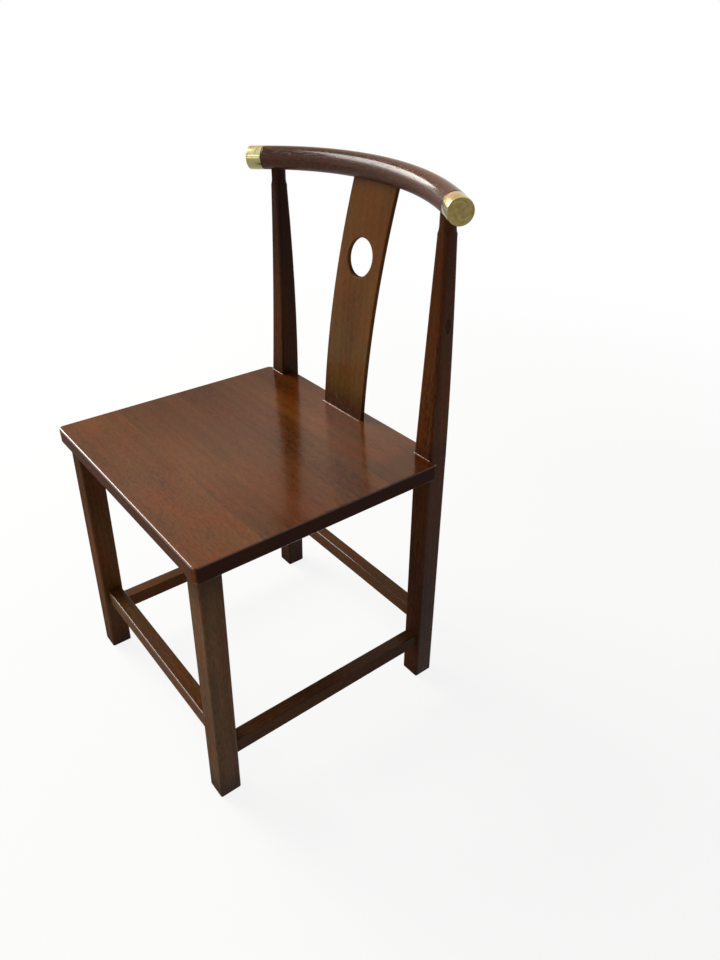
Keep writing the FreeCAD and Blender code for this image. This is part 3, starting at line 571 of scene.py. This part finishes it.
caps = {
    "radius": 0.0175, "length": 0.026, "wall": 0.0016, "endThickness": 0.0024, "sides": 96,
    "crown": 0.0012, "crownSteps": 5, "mouth": 0.0005, "mouthSteps": 3, "endRings": 4, "endRingWidth": 0.0035,
    "sharpAngle": 40, "near": 0.0001, "flatWithin": 0.01,
}
brass = {
    "colour": (0.66, 0.60, 0.32), "shade": (0.44, 0.37, 0.16),
    # the end colours are painted shade for the darker room the flat end reflects
    "shadedEndColour": (0.24, 0.185, 0.07), "shadedEndTarnish": (0.155, 0.115, 0.04),
    "spotSeed": 2.0, "spotScale": 160.0, "spotShare": 0.4,
    "bandSeed": 9.0, "bands": ((320.0, 1.2, 1.2), 2.0, 0.5), "bandShare": 0.6, "tarnish": (0.4, 0.66),
    "lineSeed": 5.0, "lines": ((2600.0, 2.5, 2.5), 2.0, 0.6), "lineEdge": (0.3, 0.7),
    "roughness": (0.16, 0.3), "brushing": 0.12, "bumpDistance": 0.0001,
    # the darker lower colour and the thin dark line are painted reflection of darker surroundings
    "endEdge": (0.0002, 0.0012), "below": (0.45, -0.1), "shadedUnderColour": (0.30, 0.26, 0.12),
    "reflectedLine": 0.2, "reflectedLineEdge": (0.07, 0.02), "reflectedLineShare": 0.6, "reflectedLineColour": (0.07, 0.05, 0.02),
}


def brushedBrass(name):
    # the noted vector holds the way along the cap's profile, then the turn round it
    material, tree, shader = newMaterial(name)
    coordinates = addNode(tree, "ShaderNodeTexCoord").outputs
    turned = addNode(tree, "ShaderNodeAttribute", attribute_name="turned").outputs["Vector"]
    spots = noise(tree, coordinates["Object"], brass["spotSeed"], brass["spotScale"])
    lines = stretchedNoise(tree, turned, brass["lineSeed"], brass["lines"])
    bands = stretchedNoise(tree, turned, brass["bandSeed"], brass["bands"])
    spots = calculate(tree, "MULTIPLY", spots, brass["spotShare"])
    bands = calculate(tree, "MULTIPLY", bands, brass["bandShare"])
    tarnish = ramp(tree, calculate(tree, "ADD", spots, bands), *brass["tarnish"])
    side = mixColour(tree, tarnish, brass["colour"], brass["shade"])
    end = mixColour(tree, tarnish, brass["shadedEndColour"], brass["shadedEndTarnish"])
    # painted reflection: the side is darker below, past a thin painted dark line like a reflected dark object
    upward = addNode(tree, "ShaderNodeSeparateXYZ", {"Vector": coordinates["Normal"]}).outputs["Z"]
    side = mixColour(tree, ramp(tree, upward, *brass["below"]), side, brass["shadedUnderColour"])
    beside = asideFrom(tree, upward, brass["reflectedLine"])
    reflectedLine = ramp(tree, beside, *brass["reflectedLineEdge"], 0.0, brass["reflectedLineShare"])
    side = mixColour(tree, reflectedLine, side, brass["reflectedLineColour"])
    # the flat end is painted darker than the side, as painted shade for the darker room it reflects; along
    # the profile it starts at length less radius
    profile = addNode(tree, "ShaderNodeSeparateXYZ", {"Vector": turned}).outputs["X"]
    onEnd = ramp(tree, profile, *(caps["length"] - caps["radius"] + past for past in brass["endEdge"]))
    bump = addNode(tree, "ShaderNodeBump", {
        "Strength": brass["brushing"], "Distance": brass["bumpDistance"], "Height": lines,
    })
    setInputs(tree, shader, {
        "Base Color": mixColour(tree, onEnd, side, end),
        "Metallic": 1.0,
        "Roughness": ramp(tree, lines, *brass["lineEdge"], *brass["roughness"]),
        "Normal": bump.outputs["Normal"],
    })
    return material


def isCapEnd(face):
    return len(face.vertices) == caps["sides"] and face.center.z > caps["length"] / 2


def isCapStart(face):
    return len(face.vertices) == caps["sides"] and face.center.z < caps["length"] / 2


def isCapMouth(face):
    return abs(face.normal.z + 1) < caps["flatWithin"] and face.center.z < caps["near"]


def turnedPlace(point):
    reach = max(math.hypot(point.x, point.y), caps["near"])
    return point.z - reach, point.x / reach, point.y / reach


def makeCap():
    bpy.ops.object.select_all(action="DESELECT")
    bpy.ops.mesh.primitive_cylinder_add(
        vertices=caps["sides"], radius=caps["radius"], depth=caps["length"],
        location=(0, 0, caps["length"] / 2),
    )
    piece = bpy.context.object
    bpy.ops.object.transform_apply(location=True, rotation=True, scale=True)
    startEditing()
    roundRims(piece, isCapEnd, caps["crown"], caps["crownSteps"])
    pickFaces(piece, isCapEnd)
    for ring in range(caps["endRings"]):
        bpy.ops.mesh.inset(thickness=caps["endRingWidth"])
    pickFaces(piece, isCapStart)
    bpy.ops.mesh.inset(thickness=caps["wall"])
    pushOut(caps["endThickness"] - caps["length"])
    roundRims(piece, isCapMouth, caps["mouth"], caps["mouthSteps"])
    finishShape(caps["sharpAngle"])
    noteVectors(piece, "turned", turnedPlace)
    return piece


def placeCap(piece, name, side, nodeName, material):
    # the cap's axis leaves the bow along its tangent
    piece.name = name
    turn = side * bowTurn
    along = Matrix.Rotation(-turn, 4, "Z") @ Matrix.Rotation(side * quarterTurn, 4, "Y")
    settle(piece, bowPlace @ Matrix.Translation(bowPoint(turn)) @ along)
    piece.data.materials.append(material)
    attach(piece, "root")
    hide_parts(nodeName)


# one cap is turned, and its copy for the other end has a mesh of its own
leftCap = makeCap()
rightCap = leftCap.copy()
rightCap.data = leftCap.data.copy()
bpy.context.collection.objects.link(rightCap)
capBrass = brushedBrass("capBrass")
placeCap(leftCap, "brassCapLeft", -1, "rail_cap_left", capBrass)
placeCap(rightCap, "brassCapRight", 1, "rail_cap_right", capBrass)
print("brass caps turned")


# thin beads of dried lacquer where the posts and the splat meet the seat, coloured pale as a painted
# highlight along each joint

bead = {
    "thickness": 0.0014, "lift": 0.0001, "sides": 20, "roundShare": 0.8, "roundSteps": 4, "sharpAngle": 60,
    # the pale colour is a painted highlight
    "colour": (0.40, 0.26, 0.18), "darkShare": 0.45, "colourEdge": (0.35, 0.65),
    "seed": 4.0, "scale": 240.0, "glossEdge": (0.3, 0.7), "roughness": (0.2, 0.4),
    "coat": 0.3, "coatRoughness": 0.1,
}
# per bead: its left and right end, and how far it lies before the seat's rear edge
beadPlaces = {
    "splatBead": (-0.0495, 0.0495, 0.0289),
    "leftPostBead": (-0.21125, -0.17675, 0.0250),
    "rightPostBead": (0.17675, 0.21125, 0.0250),
}
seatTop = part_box("seat_board_front")[1][2]
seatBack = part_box("seat_board_rear")[1][1]


def beadHighlightFinish():
    material, tree, shader = newMaterial("beadLacquerHighlight")
    place = addNode(tree, "ShaderNodeTexCoord").outputs["Object"]
    patches = noise(tree, place, bead["seed"], bead["scale"])
    dark = tuple(part * bead["darkShare"] for part in bead["colour"])
    setInputs(tree, shader, {
        "Base Color": mixColour(tree, ramp(tree, patches, *bead["colourEdge"]), bead["colour"], dark),
        "Roughness": ramp(tree, patches, *bead["glossEdge"], *bead["roughness"]),
        "Coat Weight": bead["coat"],
        "Coat Roughness": bead["coatRoughness"],
    })
    return material


def isBeadEnd(face):
    return len(face.vertices) == bead["sides"]


def layBead(name, left, right, front, material):
    # a round bead with rolled ends, along X at the seat's top, half sunk in the corner it fills
    bpy.ops.object.select_all(action="DESELECT")
    radius = bead["thickness"] / 2
    bpy.ops.mesh.primitive_cylinder_add(vertices=bead["sides"], radius=radius, depth=right - left)
    piece = bpy.context.object
    piece.name = name
    startEditing()
    roundRims(piece, isBeadEnd, radius * bead["roundShare"], bead["roundSteps"])
    finishShape(bead["sharpAngle"])
    middle = Vector(((left + right) / 2, front, seatTop + bead["lift"]))
    settle(piece, Matrix.Translation(middle) @ Matrix.Rotation(quarterTurn, 4, "Y"))
    piece.data.materials.append(material)
    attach(piece, "root")


highlightBead = beadHighlightFinish()
for name, (left, right, ahead) in beadPlaces.items():
    layBead(name, left, right, seatBack - ahead, highlightBead)
print("beads laid")


# floor, surroundings and lamps

room = {
    "floorSize": 60.0, "floorColour": (0.86, 0.86, 0.86, 1), "floorRoughness": 0.85,
    "liftReach": (0.9, 2.6), "lift": (0.87, 1.0),
    "skyLevel": 0.2, "skyColour": (1.0, 0.98, 0.95, 1),
    "unlitSide": {"towards": (0.5, -0.86, -0.05), "edge": (0.55, 0.95), "share": 0.8},
    "farWall": {"towards": (-0.76, 0.42, 0.49), "edge": (0.82, 0.93), "share": 1.0},
    "farWallColour": (1.0, 0.75, 0.60),
}


def showsBackground(tree):
    path = addNode(tree, "ShaderNodeLightPath").outputs
    seen = calculate(tree, "MAXIMUM", path["Is Camera Ray"], path["Is Glossy Ray"])
    return calculate(tree, "MAXIMUM", seen, path["Is Transmission Ray"])


def mixShaders(tree, share, lit, shown, output):
    mix = addNode(tree, "ShaderNodeMixShader", {"Fac": share, 1: lit, 2: shown})
    setInputs(tree, tree.nodes[output], {"Surface": mix.outputs["Shader"]})


def makeFloor():
    bpy.ops.object.select_all(action="DESELECT")
    bpy.ops.mesh.primitive_plane_add(size=room["floorSize"])
    floor = bpy.context.object
    floor.name = "floor"
    material, tree, shader = newMaterial("paleFloor")
    setInputs(tree, shader, {
        "Base Color": room["floorColour"], "Roughness": room["floorRoughness"], "Specular IOR Level": 0.0,
    })
    # the floor fades into the white further out, and keeps its shadow near the chair
    glow = addNode(tree, "ShaderNodeEmission", {"Color": (1, 1, 1, 1), "Strength": 1.0})
    place = addNode(tree, "ShaderNodeTexCoord").outputs["Object"]
    lift = ramp(tree, calculateVector(tree, "LENGTH", place), *room["liftReach"], *room["lift"])
    share = calculate(tree, "MULTIPLY", lift, showsBackground(tree))
    mixShaders(tree, share, shader.outputs["BSDF"], glow.outputs["Emission"], "Material Output")
    floor.data.materials.append(material)


def makeSky():
    world = bpy.data.worlds.new("studio")
    bpy.context.scene.world = world
    world.use_nodes = True
    tree = world.node_tree
    soft = tree.nodes["Background"]
    setInputs(tree, soft, {"Color": room["skyColour"], "Strength": room["skyLevel"]})
    direction = addNode(tree, "ShaderNodeTexCoord").outputs["Generated"]
    glossy = addNode(tree, "ShaderNodeLightPath").outputs["Is Glossy Ray"]

    def reflected(side):
        # a side of the room that only polished surfaces show
        towards = calculateVector(tree, "DOT_PRODUCT", direction, side["towards"])
        return calculate(tree, "MULTIPLY", ramp(tree, towards, *side["edge"], 0.0, side["share"]), glossy)

    # the unlit side shows darker there, and the far wall shows warm
    white = addNode(tree, "ShaderNodeBackground", {
        "Color": mixColour(tree, reflected(room["farWall"]), (1, 1, 1), room["farWallColour"]),
        "Strength": calculate(tree, "SUBTRACT", 1.0, reflected(room["unlitSide"])),
    })
    shown = showsBackground(tree)
    mixShaders(tree, shown, soft.outputs["Background"], white.outputs["Background"], "World Output")


makeFloor()
makeSky()

lampAim = Vector((0.0, 0.0, 0.45))
lamps = {
    "slantedWindow": {"place": (-3.5, -1.05, 2.75), "width": 3.0, "height": 2.0, "power": 245,
                      "along": (0, 0.76, 0.64), "colour": (1.0, 0.96, 0.9)},
    "fillFront": {"place": (-0.1, -3.1, 1.5), "width": 1.6, "height": 1.6, "power": 18,
                  "along": (0, 0, 1), "colour": (1.0, 1.0, 1.0)},
}


def addLamp(name, lamp):
    light = bpy.data.lights.new(name, "AREA")
    light.shape = "RECTANGLE"
    light.size = lamp["width"]
    light.size_y = lamp["height"]
    light.energy = lamp["power"]
    light.color = lamp["colour"]
    holder = bpy.data.objects.new(name, light)
    bpy.context.collection.objects.link(holder)
    # a lamp shines back down its own Z, with its height along a chosen line
    place = Vector(lamp["place"])
    back = (place - lampAim).normalized()
    across = Vector(lamp["along"]).cross(back).normalized()
    turned = Matrix((across, back.cross(across), back)).transposed().to_4x4()
    holder.matrix_world = Matrix.Translation(place) @ turned


for lampName, lamp in lamps.items():
    addLamp(lampName, lamp)
print("room lit with", len(lamps), "lamps")


# camera at the photograph's place; angles in degrees, lens and sensor in millimetres

photoCamera = {
    "place": (0.874992, -0.513159, 0.998894), "heading": 51.0313, "dip": 32.2202, "roll": 0.75,
    "lens": 37.115, "sensor": 36.0, "nearest": 0.02, "farthest": 100.0,
}


def makeCamera():
    data = bpy.data.cameras.new("photoCamera")
    data.sensor_fit = "HORIZONTAL"
    data.sensor_width = photoCamera["sensor"]
    data.lens = photoCamera["lens"]
    data.clip_start = photoCamera["nearest"]
    data.clip_end = photoCamera["farthest"]
    camera = bpy.data.objects.new("photoCamera", data)
    bpy.context.collection.objects.link(camera)
    turned = Matrix.Rotation(math.radians(photoCamera["heading"]), 4, "Z")
    tipped = Matrix.Rotation(math.radians(90 - photoCamera["dip"]), 4, "X")
    rolled = Matrix.Rotation(math.radians(photoCamera["roll"]), 4, "Z")
    camera.matrix_world = Matrix.Translation(photoCamera["place"]) @ turned @ tipped @ rolled
    bpy.context.scene.camera = camera


makeCamera()
bpy.context.scene.view_settings.view_transform = "Standard"
print("camera placed")
